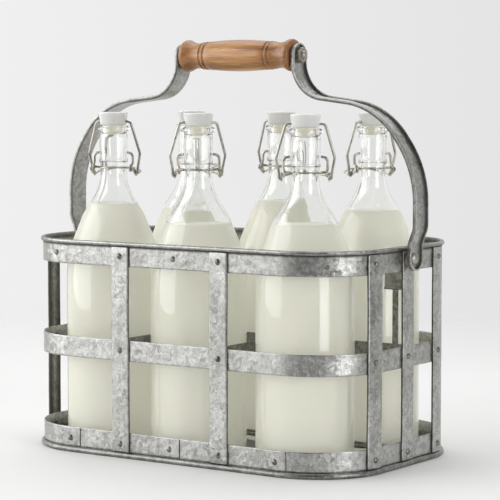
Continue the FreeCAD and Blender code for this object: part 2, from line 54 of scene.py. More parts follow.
# ---- Studio light ----
# A wide softbox on the left, a narrow one on the right and a scoop overhead,
# in a room whose walls are pale behind the crate and grey in front of it.
bpy.context.scene.view_settings.view_transform = "Standard"
bpy.context.scene.view_settings.look = "None"
LIT_POINT = Vector((0, 0, 0.2))


def softbox(name, azimuth, height, distance, size, power):
    """A rectangular lamp in metres and watts, turned from the front towards +X, aimed at the crate."""
    lamp = bpy.data.lights.new(name, "AREA")
    lamp.shape = "RECTANGLE"
    lamp.size, lamp.size_y = size
    lamp.energy = power
    holder = bpy.data.objects.new(name, lamp)
    turn = math.radians(azimuth)
    holder.location = (distance * math.sin(turn), -distance * math.cos(turn), height)
    aim = LIT_POINT - holder.location
    holder.rotation_euler = aim.to_track_quat("-Z", "Y").to_euler()
    bpy.context.scene.collection.objects.link(holder)


softbox("key_softbox", -50, 1.0, 2.4, (3.0, 2.2), 60)
softbox("side_strip", 77, 0.6, 2.2, (0.85, 1.5), 20)
softbox("overhead_scoop", 200, 2.3, 0.5, (2.4, 2.4), 31)

world = bpy.data.worlds.new("studio")
bpy.context.scene.world = world
world.use_nodes = True
sky = world.node_tree.nodes
sky.clear()


def sky_node(kind, settings=None, values=None):
    """Adds a node to the room's shader; a socket among the values is linked."""
    node = sky.new(kind)
    for key, value in (settings or {}).items():
        setattr(node, key, value)
    for key, value in (values or {}).items():
        if isinstance(value, bpy.types.NodeSocket):
            world.node_tree.links.new(value, node.inputs[key])
        else:
            node.inputs[key].default_value = value
    return node


# The pale wall is the one behind the crate as the camera sees it.
WALL_AZIMUTH = math.radians(214)
direction = sky_node("ShaderNodeTexCoord").outputs["Generated"]
facing_wall = sky_node(
    "ShaderNodeVectorMath", {"operation": "DOT_PRODUCT"},
    {0: direction, 1: (math.sin(WALL_AZIMUTH), -math.cos(WALL_AZIMUTH), 0)})
wall_share = sky_node(
    "ShaderNodeMapRange", {"interpolation_type": "SMOOTHSTEP"},
    {"Value": facing_wall.outputs["Value"], "From Min": -0.35, "From Max": 0.75, "To Min": 0, "To Max": 1})
room = sky_node(
    "ShaderNodeMix", {"data_type": "RGBA"},
    {0: wall_share.outputs["Result"], 6: (0.07, 0.07, 0.07, 1), 7: (0.86, 0.86, 0.85, 1)})
seen = sky_node("ShaderNodeLightPath").outputs["Is Camera Ray"]
across_wall = sky_node(
    "ShaderNodeVectorMath", {"operation": "DOT_PRODUCT"},
    {0: direction, 1: (-math.cos(WALL_AZIMUTH), -math.sin(WALL_AZIMUTH), 0)})
falloff = sky_node(
    "ShaderNodeMapRange", None,
    {"Value": across_wall.outputs["Value"], "From Min": -0.13, "From Max": 0.13, "To Min": 0, "To Max": 1})
wall = sky_node(
    "ShaderNodeMix", {"data_type": "RGBA"},
    {0: falloff.outputs["Result"], 6: (0.87, 0.87, 0.87, 1), 7: (0.77, 0.77, 0.77, 1)})
plain = sky_node("ShaderNodeMix", {"data_type": "RGBA"}, {0: seen, 6: room.outputs[2], 7: wall.outputs[2]})
backdrop = sky_node("ShaderNodeBackground", None, {"Color": plain.outputs[2], "Strength": 1.0})
sky_node("ShaderNodeOutputWorld", None, {"Surface": backdrop.outputs["Background"]})


# ---- Floor ----
# A pale seamless sheet under the crate; it thins out far from the crate so
# that no edge shows against the room.
class Value:
    """One shader value that Python arithmetic can be done on."""

    def __init__(self, finish, socket):
        self.finish = finish
        self.socket = socket

    def _math(self, operation, first, second):
        return self.finish.node("ShaderNodeMath", {"operation": operation}, {0: first, 1: second})["Value"]

    def __add__(self, other):
        return self._math("ADD", self, other)

    def __radd__(self, other):
        return self._math("ADD", other, self)

    def __sub__(self, other):
        return self._math("SUBTRACT", self, other)

    def __rsub__(self, other):
        return self._math("SUBTRACT", other, self)

    def __mul__(self, other):
        return self._math("MULTIPLY", self, other)

    def __rmul__(self, other):
        return self._math("MULTIPLY", other, self)


class Finish:
    """A material on one Principled shader, with its nodes added by method."""

    def __init__(self, name, **constants):
        self.material = bpy.data.materials.new(name)
        self.material.use_nodes = True
        self.tree = self.material.node_tree
        self.shader = self.tree.nodes["Principled BSDF"]
        for socket, value in constants.items():
            self.shader.inputs[socket.replace("_", " ")].default_value = value

    def node(self, kind, settings=None, values=None):
        """Adds a node and gives its outputs by name; a Value among the inputs is linked."""
        node = self.tree.nodes.new(kind)
        for key, value in (settings or {}).items():
            setattr(node, key, value)
        for key, value in (values or {}).items():
            if isinstance(value, Value):
                self.tree.links.new(value.socket, node.inputs[key])
            else:
                node.inputs[key].default_value = value
        return {socket.name: Value(self, socket) for socket in reversed(node.outputs) if socket.enabled}

    def place(self):
        return self.node("ShaderNodeTexCoord")["Object"]

    def stretched(self, place, scale):
        return self.node("ShaderNodeMapping", None, {"Vector": place, "Scale": scale})["Vector"]

    def noise(self, place, scale, detail=3.0, roughness=0.5):
        values = {"Vector": place, "Scale": scale, "Detail": detail, "Roughness": roughness}
        return self.node("ShaderNodeTexNoise", None, values)["Fac"]

    def step(self, value, low, high, start=0.0, end=1.0):
        values = {"Value": value, "From Min": low, "From Max": high, "To Min": start, "To Max": end}
        return self.node("ShaderNodeMapRange", {"interpolation_type": "SMOOTHSTEP"}, values)["Result"]

    def mixed(self, share, first, second):
        first, second = ((*c, 1) if isinstance(c, tuple) else c for c in (first, second))
        return self.node("ShaderNodeMix", {"data_type": "RGBA"}, {0: share, 6: first, 7: second})["Result"]

    def vector(self, operation, first, second, third=(0, 0, 0)):
        values = {0: first, 1: second} | ({2: third} if operation == "MULTIPLY_ADD" else {})
        return self.node("ShaderNodeVectorMath", {"operation": operation}, values)["Vector"]

    def cells(self, place, scale):
        """A random colour for each crystal-like cell."""
        return self.node("ShaderNodeTexVoronoi", None, {"Vector": place, "Scale": scale})["Color"]

    def red(self, colour):
        return self.node("ShaderNodeSeparateColor", None, {"Color": colour})["Red"]

    def bump(self, height, distance, strength=1.0, normal=None):
        values = {"Height": height, "Distance": distance, "Strength": strength}
        if normal:
            values["Normal"] = normal
        self.feed("Normal", self.node("ShaderNodeBump", None, values)["Normal"])

    def feed(self, socket, value):
        self.tree.links.new(value.socket, self.shader.inputs[socket])


FLOOR_SPREAD = 9.0
paper = Finish("floor_paper", Roughness=0.85, Specular_IOR_Level=0.2)
away = paper.node("ShaderNodeVectorMath", {"operation": "LENGTH"}, {0: paper.place()})["Value"]
paper.feed("Base Color", paper.mixed(paper.noise(paper.place(), 3.0), (0.83, 0.83, 0.83), (0.86, 0.86, 0.86)))
clear = paper.tree.nodes.new("ShaderNodeBsdfTransparent")
fade = paper.tree.nodes.new("ShaderNodeMixShader")
paper.tree.links.new(paper.step(away, 0.45, 1.5).socket, fade.inputs[0])
paper.tree.links.new(paper.shader.outputs[0], fade.inputs[1])
paper.tree.links.new(clear.outputs[0], fade.inputs[2])
paper.tree.links.new(fade.outputs[0], paper.tree.nodes["Material Output"].inputs[0])
floor_mesh = bpy.data.meshes.new("floor")
floor_corners = [(x * FLOOR_SPREAD, y * FLOOR_SPREAD, 0) for x, y in ((-1, -1), (1, -1), (1, 1), (-1, 1))]
floor_mesh.from_pydata(floor_corners, [], [(0, 1, 2, 3)])
floor_mesh.materials.append(paper.material)
floor = bpy.data.objects.new("floor", floor_mesh)
bpy.context.scene.collection.objects.link(floor)


# ---- Tray, dividers and lap plates ----
# Sheet and strip steel, cut, folded, riveted up and then dipped in zinc. The
# zinc froze in fine grey spangles; seams and corners are darkened with soiling and painted shade.
def galvanized(name, dark, light, tilt=0.2):
    """Zinc whose crystals differ in tone and tilt; the mesh's per-point value above 0 darkens it with soiling
    and painted shade, below 0 lightens it with rubbing and a painted highlight.
    """
    zinc = Finish(name, Metallic=0.92, Specular_IOR_Level=0.5)
    place = zinc.place()
    wander = zinc.node("ShaderNodeTexNoise", None, {"Vector": place, "Scale": 260.0, "Detail": 3.0})["Color"]
    shifted = zinc.vector("MULTIPLY_ADD", wander, (0.005, 0.005, 0.005), place)
    crystal, facet = zinc.cells(shifted, 290.0), zinc.cells(shifted, 800.0)
    cloud = zinc.noise(place, 16.0, 4.0, 0.6)
    grain = zinc.noise(place, 700.0, 3.0, 0.6)
    tone = 0.3 * zinc.red(crystal) + 0.24 * zinc.red(facet) + 0.55 * cloud + 0.25 * grain - 0.17
    body = zinc.mixed(zinc.step(tone, 0.2, 0.85), dark, light)
    stained = zinc.step(zinc.noise(zinc.stretched(place, (1, 1, 0.3)), 85.0, 4.0, 0.65), 0.55, 0.75)
    body = zinc.mixed(0.4 * stained, body, tuple(0.6 * c * t for c, t in zip(dark, (1.02, 1.0, 0.92))))
    # A per-point value from the mesh: above 0 soiling and painted shade in seams, corners and undersides,
    # below 0 rubbing and a painted highlight on edges.
    grime_wear_and_shading = zinc.node("ShaderNodeAttribute", {"attribute_name": "grime_wear_and_shading"})["Fac"]
    dirt_and_shading = zinc.step(grime_wear_and_shading + 0.5 * (zinc.noise(place, 150.0, 3.0, 0.6) - 0.5), 0.05, 0.95)
    wear_and_highlight = zinc.step(0 - grime_wear_and_shading + 0.6 * (grain - 0.5), 0.1, 0.9)
    # Soiling and painted shade darken the zinc; rubbing and a painted highlight then lighten it.
    body = zinc.mixed(0.9 * dirt_and_shading, body, (0.06, 0.058, 0.048))
    zinc.feed("Base Color", zinc.mixed(0.6 * wear_and_highlight, body, (0.74, 0.745, 0.73)))
    zinc.feed("Roughness", 0.27 + 0.12 * zinc.red(crystal) + 0.1 * grain + 0.12 * stained + 0.2 * dirt_and_shading)
    half = (0.5, 0.5, 0.5)
    blend = zinc.vector("MULTIPLY_ADD", facet, half, zinc.vector("MULTIPLY", crystal, half))
    lean = zinc.vector("SUBTRACT", blend, half)
    normal = zinc.node("ShaderNodeNewGeometry")["Normal"]
    tipped = zinc.vector("MULTIPLY_ADD", lean, (tilt, tilt, tilt), normal)
    leaned = zinc.vector("NORMALIZE", tipped, (0, 0, 0))
    zinc.bump(0.6 * zinc.noise(place, 30.0, 2.0) + 0.05 * grain, 0.0012, 0.4, leaned)
    return zinc


ZINC_DARK = (0.285, 0.282, 0.262)
ZINC_LIGHT = (0.60, 0.605, 0.59)
zinc = galvanized("galvanized_zinc", ZINC_DARK, ZINC_LIGHT)


def carry_over(names, finish):
    """CAD pieces that are shown as they are, in one finish."""
    for name in names:
        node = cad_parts[name]
        node.data.materials.clear()
        node.data.materials.append(finish.material)


# The base tray is a darker zinc than the hoops.
tray_zinc = galvanized("tray_zinc", (0.15, 0.148, 0.135), (0.38, 0.38, 0.365))
carry_over(["base_tray"], tray_zinc)
# The pieces inside the crate get a darker copy of the zinc: painted shade.
shaded_inner_zinc = galvanized("shaded_inner_zinc", (0.16, 0.16, 0.15), (0.40, 0.40, 0.385))
inner_pieces = ["divider_strap", "cross_straps", "floor_rail", "divider_brackets"]
carry_over(inner_pieces, shaded_inner_zinc)
MM = 0.001


def piece(name, shapes, finish, body, nodes, sharp=40, place=None):
    """One mesh piece that stands for CAD nodes and rides on their body."""
    mesh = bpy.data.meshes.new(name)
    verts, faces, grime_wear_and_shading = [], [], []
    for shape_verts, shape_faces, *dirt_and_shading in shapes:
        faces += [[c + len(verts) for c in face] for face in shape_faces]
        verts += [place @ v if place else v for v in shape_verts]
        grime_wear_and_shading += dirt_and_shading[0] if dirt_and_shading else [0.0] * len(shape_verts)
    mesh.from_pydata(verts, [], faces)
    if any(grime_wear_and_shading):
        mesh.attributes.new("grime_wear_and_shading", "FLOAT", "POINT").data.foreach_set("value", grime_wear_and_shading)
    mesh.validate()
    mesh.shade_smooth()
    mesh.set_sharp_from_angle(angle=math.radians(sharp))
    mesh.materials.append(finish.material)
    made = bpy.data.objects.new(name, mesh)
    bpy.context.scene.collection.objects.link(made)
    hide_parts(*nodes)
    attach(made, body)


# ---- Bands ----
# Three hoops of 1.2 mm sheet bent round one outline and lapped at the front.
# The top hoop's edge is rolled over a wire to make the rim.
LENGTH, WIDTH, CORNER = 366.0, 224.0, 66.0
HALF_X, HALF_Y = LENGTH / 2 - CORNER, WIDTH / 2 - CORNER
QUARTER = CORNER * math.pi / 2
AROUND = 4 * (HALF_X + HALF_Y + QUARTER)
BAND_T = 1.2


def outline(along, offset):
    """Point in mm on the hoop's outline, from the middle of the front round by the right."""
    run = along % AROUND
    turn = -90.0
    corner = Vector((HALF_X, -HALF_Y, 0))
    legs = (2 * HALF_Y, 2 * HALF_X, 2 * HALF_Y, 2 * HALF_X)
    if run <= HALF_X:
        return Vector((run, -WIDTH / 2 - offset, 0))
    run -= HALF_X
    for leg in legs:
        if run <= QUARTER:
            angle = math.radians(turn) + run / CORNER
            return corner + (CORNER + offset) * Vector((math.cos(angle), math.sin(angle), 0))
        run -= QUARTER
        turn += 90
        outward = Vector((round(math.cos(math.radians(turn))), round(math.sin(math.radians(turn))), 0))
        ahead = Vector((-outward.y, outward.x, 0))
        if run <= leg:
            return corner + (CORNER + offset) * outward + run * ahead
        run -= leg
        corner = corner + leg * ahead
    return Vector((run - HALF_X, -WIDTH / 2 - offset, 0))


def hooped(profile, step=3.0):
    """Sweeps a closed (offset, height, shading) profile round the outline; the third value is soiling and
    painted shade above 0, rubbing and a painted highlight below 0.
    """
    count = round(AROUND / step)
    verts, grime_wear_and_shading, faces = [], [], []
    size = len(profile)
    for k in range(count):
        along = k * AROUND / count
        for offset, height, dirt_and_shading in profile:
            point = outline(along, offset)
            verts.append(Vector((point.x, point.y, height)) * MM)
            grime_wear_and_shading.append(dirt_and_shading)
        for i in range(size):
            j, here, after = (i + 1) % size, k * size, (k + 1) % count * size
            faces.append([here + i, after + i, after + j, here + j])
    return verts, faces, grime_wear_and_shading


def sheet_edge(low, high, soft=0.35, rows=6):
    """Profile of a flat hoop with softened edges; its margins, back and underside carry soiling and painted
    shade, its top edge rubbing and a painted highlight.
    """
    inner, outer = -BAND_T, 0.0
    heights = [low + (high - low) * k / rows for k in range(rows + 1)]
    face = [(outer, low + soft, 0.35), (outer, low + 1.4, 0.12)] + [(outer, z, 0.0) for z in heights[1:-1]]
    face += [(outer, high - 1.4, 0.12), (outer, high - soft, 0.35)]
    back = [(inner, high - soft, 0.2), (inner, (low + high) / 2, 0.1), (inner, low + soft, 0.2)]
    top = [(outer - 0.12, high - 0.1, 0.1), (outer - soft, high, -0.3), (inner + soft, high, -0.3)]
    under = [(inner + soft, low, 0.4), (outer - soft, low, 0.4), (outer - 0.12, low + 0.1, 0.3)]
    return face + top + back + under


RIM_R, RIM_Z = 2.15, 197.85
# The rolled rim and the band just under it are darkened with soiling and painted shade, most under the roll,
# least on a strip near its top.
roll = []
for k in range(25):
    angle = math.radians(-90 + 236 * k / 24)
    dirt_and_shading = 1.0 if k < 3 else 0.7 if k < 6 else 0.1 if 10 < k < 14 else 0.45
    roll.append((RIM_R * math.cos(angle), RIM_Z + RIM_R * math.sin(angle), dirt_and_shading))
top_profile = [(0.0, 177.65, 0.35), (0.0, 178.8, 0.12), (0.0, 182.0, 0.0), (0.0, 186.0, 0.0),
               (0.0, 190.0, 0.0), (0.0, 193.2, 0.1), (0.0, 194.6, 0.6), (0.0, 195.5, 1.0)] + roll[1:]
top_profile += [(-BAND_T, 195.9, 0.8), (-BAND_T, 193.0, 0.35), (-BAND_T, 186.0, 0.15), (-BAND_T, 177.65, 0.2),
                (-BAND_T + 0.35, 177.3, 0.4), (-0.35, 177.3, 0.4), (-0.12, 177.4, 0.3)]
for name, node, profile in (("base_hoop", "base_band", sheet_edge(5.8, 23.7)),
                            ("middle_hoop", "middle_band", sheet_edge(90.0, 109.3)),
                            ("rimmed_hoop", "top_band", top_profile)):
    piece(name, [hooped(profile)], zinc, "crate", [node], 50)


# ---- Upright straps ----
# Ten bars of 2 mm strip, bent to the hoops and riveted outside all three.
# Their sheared edges are softened by the zinc; soiling and painted shade darken
# their sides, backs and the ends where they meet a band, and rubbing and a
# painted highlight lighten a strip inside each edge.
STRAP_W, STRAP_T, STRAP_Z = 19.2, 2.0, (5.9, 195.4)
SIDE_STRAP = 55.3
END_MIDDLE = HALF_X + QUARTER + HALF_Y
END_STRAP = HALF_Y + (54.6 - HALF_Y) / math.cos(math.radians(7.0))


def upright(along, lean, width=STRAP_W, thick=STRAP_T, reach=STRAP_Z):
    """One strap: its plan section is lofted up the crate with a slight hand-made sway."""
    half = width / 2
    spans = [-half, -half + 0.25, -half + 0.8, -half + 1.8, -4.5, 0, 4.5,
             half - 1.8, half - 0.8, half - 0.25, half]
    shading_and_dirt_across = [0.75, 0.35, -0.3, 0.05, 0.0, 0.0, 0.0, 0.05, -0.3, 0.35, 0.75]
    proud = [0.62 * thick, 0.88 * thick] + [thick] * 7 + [0.88 * thick, 0.62 * thick]
    section = list(zip(spans, proud, shading_and_dirt_across)) + [(half, 0.0, 1.0), (0, 0.0, 0.4), (-half, 0.0, 1.0)]
    low, high = reach
    levels = [low, low + 0.25, low + 0.9] + [low + (high - low) * k / 26 for k in range(1, 26)]
    levels += [high - 0.9, high - 0.25, high]
    pinch = [0.55, 0.15, 0.0] + [0.0] * 25 + [0.0, 0.15, 0.55]
    verts, grime_wear_and_shading, faces = [], [], []
    size = len(section)
    for row, (z, squeeze) in enumerate(zip(levels, pinch)):
        shift = 0.22 * math.sin(z / 31.0 + lean) + 0.12 * math.sin(z / 12.0 + 2.1 * lean)
        for span, offset, dirt_and_shading in section:
            span = (abs(span) - squeeze * (abs(span) > half - 1)) * math.copysign(1, span) if span else 0.0
            sunk = max(offset - 0.5 * thick * squeeze * (offset > 0.4 * thick), 0.0)
            point = outline(along + span + shift, sunk)
            verts.append(Vector((point.x, point.y, z)) * MM)
            grime_wear_and_shading.append(max(dirt_and_shading, 0.5) if squeeze > 0.3 else dirt_and_shading)
        if row:
            here, after = (row - 1) * size, row * size
            faces += [[here + i, here + (i + 1) % size, after + (i + 1) % size, after + i]
                      for i in range(size)]
    faces += [list(range(size))[::-1], [row * size + i for i in range(size)]]
    return verts, faces, grime_wear_and_shading


fronts = [-SIDE_STRAP, SIDE_STRAP, AROUND / 2 - SIDE_STRAP, AROUND / 2 + SIDE_STRAP]
ends = [side * (END_MIDDLE + shift) for side in (-1, 1) for shift in (-END_STRAP, 0, END_STRAP)]
piece("front_and_rear_straps", [upright(a, 0.7 * k) for k, a in enumerate(fronts)], zinc, "crate",
      ["side_straps"], 50)
piece("end_uprights", [upright(a, 1.3 + 0.9 * k) for k, a in enumerate(ends)], zinc, "crate",
      ["end_straps"], 50)

PLATE = 115.5
PLATE_W, PLATE_T, PLATE_Z = 23.0, 0.8, (6.1, 23.3)
plates = [place + turn for turn in (0, AROUND / 2) for place in (-PLATE, 0, PLATE)]
piece("band_lap_plates", [upright(a, 2.0 * k, PLATE_W, PLATE_T, PLATE_Z) for k, a in enumerate(plates)],
      zinc, "crate", ["lap_plates"], 50)


# ---- Rivets ----
# Domed tinmen's rivets, set by hand through strap and band; the zinc on their
# heads has gone dark.
dark_zinc = galvanized("rivet_zinc", (0.10, 0.10, 0.095), (0.34, 0.34, 0.33), 0.1)
carry_over(["band_rivets"], dark_zinc)


# ---- Handle arms ----
# Two arms pressed from strip into a shallow channel, lips outward, with round
# ends: the foot swings on its pivot, the head holds the grip's bolt.
ARM_HALF, ARM_DEPTH, ARM_T = 11.0, 4.2, 1.5
ARM_ENDS = ((189.0, 188.5), (64.0, 371.0))
ARM_BENDS = [(189, 201.6, 12), (194.5, 215.8, 14), (194.5, 267, 90), (155.3, 322.2, 72), (73.8, 331.8, 36),
             (64, 359, 30)]


def rounded_run(points, radii, steps=14):
    """A polyline in mm whose corners are true arcs."""
    line = [points[0]]
    for before, corner, after, radius in zip(points, points[1:], points[2:], radii):
        back, ahead = (before - corner).normalized(), (after - corner).normalized()
        half = back.angle(ahead) / 2
        reach = radius / math.tan(half)
        middle = corner + (back + ahead).normalized() * radius / math.sin(half)
        start, end = corner + back * reach - middle, corner + ahead * reach - middle
        sweep = start.angle(end)
        for k in range(steps + 1):
            share = k / steps
            line.append(middle + (start * math.sin((1 - share) * sweep) + end * math.sin(share * sweep))
                        / math.sin(sweep))
    return line + [points[-1]]


def channel_arm(side):
    """The arm's section is drawn at every step of its bent line; round ends narrow it to nothing."""
    corners = [Vector((x, 0, z)) for x, z in
               [ARM_ENDS[0]] + [(x, z) for x, z, _ in ARM_BENDS] + [ARM_ENDS[1]]]
    bends = rounded_run(corners, [bend for _, _, bend in ARM_BENDS])
    first, last = (bends[0] - bends[1]).normalized(), (bends[-1] - bends[-2]).normalized()
    reaches = [ARM_HALF * math.sin(math.radians(a)) for a in range(0, 91, 5)]
    reaches[-1] = ARM_HALF - 0.02
    run = [bends[0] + first * reach for reach in reversed(reaches[1:])]
    run += [p for p, q in zip(bends, bends[1:]) if (q - p).length > 0.01] + [bends[-1]]
    run += [bends[-1] + last * reach for reach in reaches[1:]]
    fine = [run[0]]
    for p, q in zip(run, run[1:]):
        parts = max(1, round((q - p).length / 3.0))
        fine += [p.lerp(q, (k + 1) / parts) for k in range(parts)]
    verts, grime_wear_and_shading, faces = [], [], []
    for k, centre in enumerate(fine):
        ahead = (fine[min(k + 1, len(fine) - 1)] - fine[max(k - 1, 0)]).normalized()
        outward = Vector((ahead.z, 0, -ahead.x))
        over = max((centre - bends[0]).dot(first), (centre - bends[-1]).dot(last), 0.0)
        over = over if min((centre - bends[0]).length, (centre - bends[-1]).length) < ARM_HALF + 0.1 else 0.0
        wide = math.sqrt(max(ARM_HALF ** 2 - over ** 2, 0.0004))
        well = math.sqrt(max((ARM_HALF - ARM_T) ** 2 - over ** 2, 0.0))
        lip = min(0.6, (wide - well) / 2.5)
        # Per-point values: soiling and painted shade in the channel's corners and down its outer sides,
        # rubbing and a painted highlight along the lip tops and the round ends.
        rubbed_and_highlighted = 0.0 if well else -0.2
        half_section = [
            (0.0, ARM_T if well else ARM_DEPTH, 0.05), (well * 0.55, ARM_T if well else ARM_DEPTH, 0.0),
            (max(well - 1.6, 0), ARM_T if well else ARM_DEPTH, 0.25 if well else 0),
            (max(well - 0.5, 0), ARM_T + 0.05 if well else ARM_DEPTH, 0.95 if well else rubbed_and_highlighted),
            (well, ARM_T + 0.6 if well else ARM_DEPTH, 1.0 if well else rubbed_and_highlighted),
            (well, ARM_DEPTH - lip, 0.45 if well else rubbed_and_highlighted), (well + lip * 0.6, ARM_DEPTH, -0.35),
            (wide - lip, ARM_DEPTH, -0.5), (wide - lip * 0.3, ARM_DEPTH - lip * 0.3, -0.3),
            (wide, ARM_DEPTH - lip, 0.25), (wide, 0.8, 0.75), (wide - min(0.5, wide / 3), 0.15, 0.2),
            (wide * 0.6, 0.0, 0.1),
        ]
        section = half_section + [(0.0, 0.0, 0.1)] + [(-y, o, d) for y, o, d in reversed(half_section[1:])]
        for y, offset, dirt_and_shading in section:
            point = centre + outward * offset
            verts.append(Vector((side * point.x, y, point.z)) * MM)
            grime_wear_and_shading.append(dirt_and_shading)
    size = len(section)
    for k in range(len(fine) - 1):
        for i in range(size):
            here, after = k * size, (k + 1) * size
            face = [here + i, here + (i + 1) % size, after + (i + 1) % size, after + i]
            faces.append(face if side > 0 else face[::-1])
    ends = [list(range(size)), [(len(fine) - 1) * size + i for i in range(size)][::-1]]
    faces += [end[::-1] for end in ends] if side > 0 else ends
    return verts, faces, grime_wear_and_shading


for name, side in (("left", -1), ("right", 1)):
    piece(f"channel_arm_{name}", [channel_arm(side)], zinc, "handle",
          [f"handle_arm_{name}"], 50)


# ---- Pivots and grip bolt ----
# The handle swings on shouldered pins; a steel bolt with hexagon nuts runs
# through the grip. Their thin zinc has worn to brown steel.
worn_steel = Finish("worn_steel", Metallic=0.85)
tarnish = worn_steel.noise(worn_steel.place(), 160.0, 4.0, 0.6)
worn_steel.feed("Base Color", worn_steel.mixed(tarnish, (0.24, 0.21, 0.17), (0.58, 0.55, 0.49)))
worn_steel.feed("Roughness", 0.32 + 0.25 * tarnish)
worn_steel.bump(tarnish, 0.0004, 0.5)
carry_over(["pivot_bolts", "grip_bolt", "grip_nuts"], worn_steel)


# ---- Wooden grip ----
# A turned hardwood roller, waisted to the hand, with two pairs of cut beads
# near each end; it spins on the bolt. Oiled and polished by use.
def lathed(profile, sides=96):
    """Revolves (radius, height) points in mm; ends on the axis become one point."""
    line = [Vector((r, z)) for r, z in profile]
    turns = [2 * math.pi * i / sides for i in range(sides)]
    verts, rings = [], []
    for r, z in line:
        if r < 1e-6:
            rings.append([len(verts)] * sides)
            verts.append(Vector((0, 0, z * MM)))
        else:
            rings.append(list(range(len(verts), len(verts) + sides)))
            verts += [Vector((r * math.cos(t) * MM, r * math.sin(t) * MM, z * MM)) for t in turns]
    faces = []
    for low, high in zip(rings, rings[1:]):
        for i in range(sides):
            corners = [low[i - 1], low[i], high[i], high[i - 1]]
            faces.append([c for k, c in enumerate(corners) if c != corners[k - 1]])
    return verts, faces


GRIP_HEIGHT = 371
BOLT_WAY = 4.06
GRIP_HALF = [
    (14.8, 0), (14.7, 9), (14.3, 18), (13.8, 26), (13.4, 32.6), (13.1, 33.3), (12.3, 33.6), (12.2, 34.6),
    (12.4, 35.4), (13.2, 35.8), (13.3, 36.6), (13.1, 37.5), (12.2, 38), (12.0, 38.9), (12.2, 39.8),
    (12.9, 40.3), (12.7, 41.5), (11.9, 45), (12, 49), (13, 53), (14.5, 56.3), (15, 57.6), (15.05, 58.8),
    (15, 60), (14.3, 61.2), (13.2, 62), (BOLT_WAY + 0.4, 62.1), (BOLT_WAY, 61.7),
]
grip_line = [(r, -z) for r, z in reversed(GRIP_HALF)] + GRIP_HALF[1:] + [(BOLT_WAY, -61.7)]
along_x = Matrix.Translation((0, 0, GRIP_HEIGHT * MM)) @ Matrix.Rotation(math.radians(90), 4, "Y")
wood = Finish("turned_wood", Coat_Roughness=0.13, Specular_IOR_Level=0.5)
fibre = wood.stretched(wood.place(), (0.06, 1, 1))
figure = wood.noise(fibre, 260.0, 4.0, 0.6)
rings = wood.noise(wood.stretched(wood.place(), (0.12, 1, 1)), 90.0, 3.0, 0.5)
pores = wood.noise(wood.stretched(wood.place(), (0.05, 1, 1)), 1100.0, 2.0, 0.6)
growth = wood.step(0.55 * figure + 0.45 * rings, 0.35, 0.68)
hue = wood.mixed(growth, (0.28, 0.112, 0.030), (0.68, 0.345, 0.120))
off_middle = wood.vector("ABSOLUTE", wood.place(), (0, 0, 0))
from_middle = wood.node("ShaderNodeSeparateXYZ", None, {"Vector": off_middle})["X"]
# The grip is darkened towards both ends: painted shade.
ends_shaded = wood.mixed(wood.step(from_middle, 0.028, 0.061, 0.0, 0.5), hue, (0.27, 0.098, 0.026))
wood.feed("Base Color", wood.mixed(wood.step(pores, 0.58, 0.72, 0.0, 0.55), ends_shaded, (0.10, 0.045, 0.018)))
wood.feed("Roughness", 0.36 + 0.2 * figure)
wood.feed("Coat Weight", 0.35 + 0.2 * rings)
wood.bump(figure + 0.6 * pores, 0.00035, 0.6)
piece("wooden_grip_turned", [lathed(grip_line, 80)], wood, "grip", ["wooden_grip"], 55,
      along_x)


# ---- Bottles ----
# Pressed clear glass with a thick punted foot, a sloping shoulder and a rolled
# lip with a groove under it for the closure's wire. Each stands loose.
FOOT_Z = 2.4
LIP = 302.6
# For each bottle: its place, the turn of its closure in degrees, and the milk's height.
BOTTLES = {
    1: (-103.9, -60, 14, 230.8),
    2: (-4.7, -60, 50, 215.2),
    3: (113, -60, 34, 219.4),
    4: (-100.9, 61.2, -42, 221.5),
    5: (6.7, 60, 6, 230.2),
    6: (109.7, 60, 62, 225.8),
}
GLASS_T = 3.0
OUTER = [
    (44.6, 12), (44.6, 165), (44, 172), (42.4, 183), (39.2, 194), (34.6, 205), (29.5, 218), (24.4, 227),
    (19.9, 233.5), (16, 241), (13.4, 249), (12.5, 257), (12.5, 266), (13.4, 268.5), (13.6, 270.5),
    (12.9, 272.5), (13.1, 278), (13.5, 285), (13.3, 293), (13.3, 297.2), (14.6, 298.2), (14.7, 301.2),
    (13.6, 302.6),
]


def eased(points, per_span=4):
    """A smooth line through the points (Catmull-Rom)."""
    line = []
    padded = [points[0]] + list(points) + [points[-1]]
    for a, b, c, d in zip(padded, padded[1:], padded[2:], padded[3:]):
        a, b, c, d = (Vector(p) for p in (a, b, c, d))
        for k in range(per_span):
            t = k / per_span
            line.append(0.5 * (2 * b + (c - a) * t + (2 * a - 5 * b + 4 * c - d) * t * t
                               + (3 * b - a - 3 * c + d) * t ** 3))
    return line + [Vector(points[-1])]


def set_in(points, depth):
    """The same line moved inwards by the wall thickness."""
    line = []
    for k, p in enumerate(points):
        before, after = points[max(k - 1, 0)], points[min(k + 1, len(points) - 1)]
        along = (after - before).normalized()
        line.append(Vector((p.x - along.y * depth, p.y + along.x * depth)))
    return line


side_line = eased(OUTER[1:])
wall_line = set_in(side_line, GLASS_T)
FOOT = [(0, 5.0), (20, 4.2), (31, 1.6), (33.5, 0.35), (36, 0.0), (38.5, 0.45), (41.4, 2.2), (43.4, 4.9),
        (44.4, 8.4), (44.6, 12)]
foot_line = [Vector((0, 5.0))] + eased(FOOT[1:], 3)
bore = [p for p in wall_line if p.y < LIP - 9]
inner = [Vector((8.6, LIP - 1.4)), Vector((8.6, LIP - 6))] + list(reversed(bore))
INNER_FLOOR = [(41.6, 14), (41.0, 11.4), (39, 9.2), (35.5, 8.0), (30, 7.8), (15, 8.7), (0, 9.4)]
lip_round = [Vector((12.2, LIP)), Vector((10.0, LIP)), Vector((9.0, LIP - 0.4))]
glass_line = foot_line + side_line + lip_round + inner + [Vector(p) for p in INNER_FLOOR]
glass_shape = lathed(glass_line, 96)
glass = Finish("bottle_glass", Transmission_Weight=1.0, IOR=1.5, Specular_IOR_Level=0.5)
